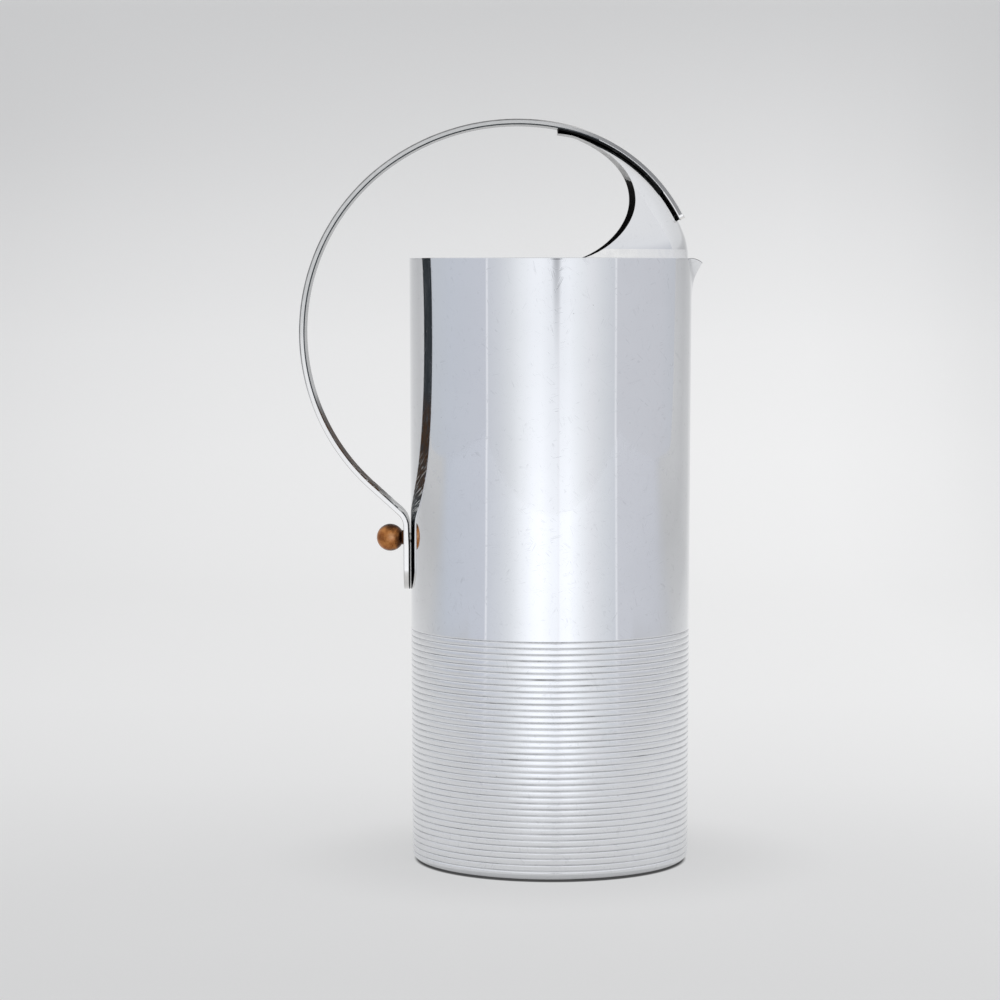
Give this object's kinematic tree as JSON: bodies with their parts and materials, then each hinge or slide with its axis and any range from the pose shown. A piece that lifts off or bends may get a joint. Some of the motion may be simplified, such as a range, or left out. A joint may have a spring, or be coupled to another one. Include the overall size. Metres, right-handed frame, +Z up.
{
  "type": "pitcher",
  "caption": "Tall straight chrome pitcher with turned grooves, a pinched lip, a domed ice guard over the mouth and a looped strap handle held by a ball-headed thumb screw.",
  "frame": {"origin": "centre of the flat base, on the surface that the pitcher stands on", "axes": "+Z up along the axis of the body, +X towards the pouring lip, -X towards the back of the handle"},
  "size_m": [0.1448, 0.1016, 0.2664],
  "materials": {
    "chrome_plate": "polished plate with fine hairline scratches",
    "solder": "wiped soft solder, half dull",
    "dark_packing": "dark dull metal",
    "copper_ball": "aged brown copper, softly polished",
    "steel_fixings": "nickel plated",
    "seal_rubber": "matt"
  },
  "bodies": {
    "pitcher": {"body_shell": "chrome_plate", "hood": "chrome_plate", "hood_solder": "solder", "handle_strap": "chrome_plate", "strap_packing": "dark_packing", "seal_washer": "seal_rubber", "backing_washer": "steel_fixings", "cap_nut": "steel_fixings"},
    "thumb_screw": {"knob_screw": "steel_fixings"},
    "ball": {"knob_ball": "copper_ball"}
  },
  "joints": [
    {"name": "knob_travel", "type": "slide", "parent": "pitcher", "child": "thumb_screw", "axis": [-1, 0, 0], "range_m": [0, 0.004]},
    {"name": "knob_turn", "type": "hinge", "parent": "thumb_screw", "child": "ball", "pos_m": [-0.05784, 0, 0.11622], "axis": [-1, 0, 0], "range_deg": [0, 1815]}
  ],
  "couplings": [
    {"joint": "knob_turn", "follows": "knob_travel", "rad_per_m": 7913.3}
  ]
}
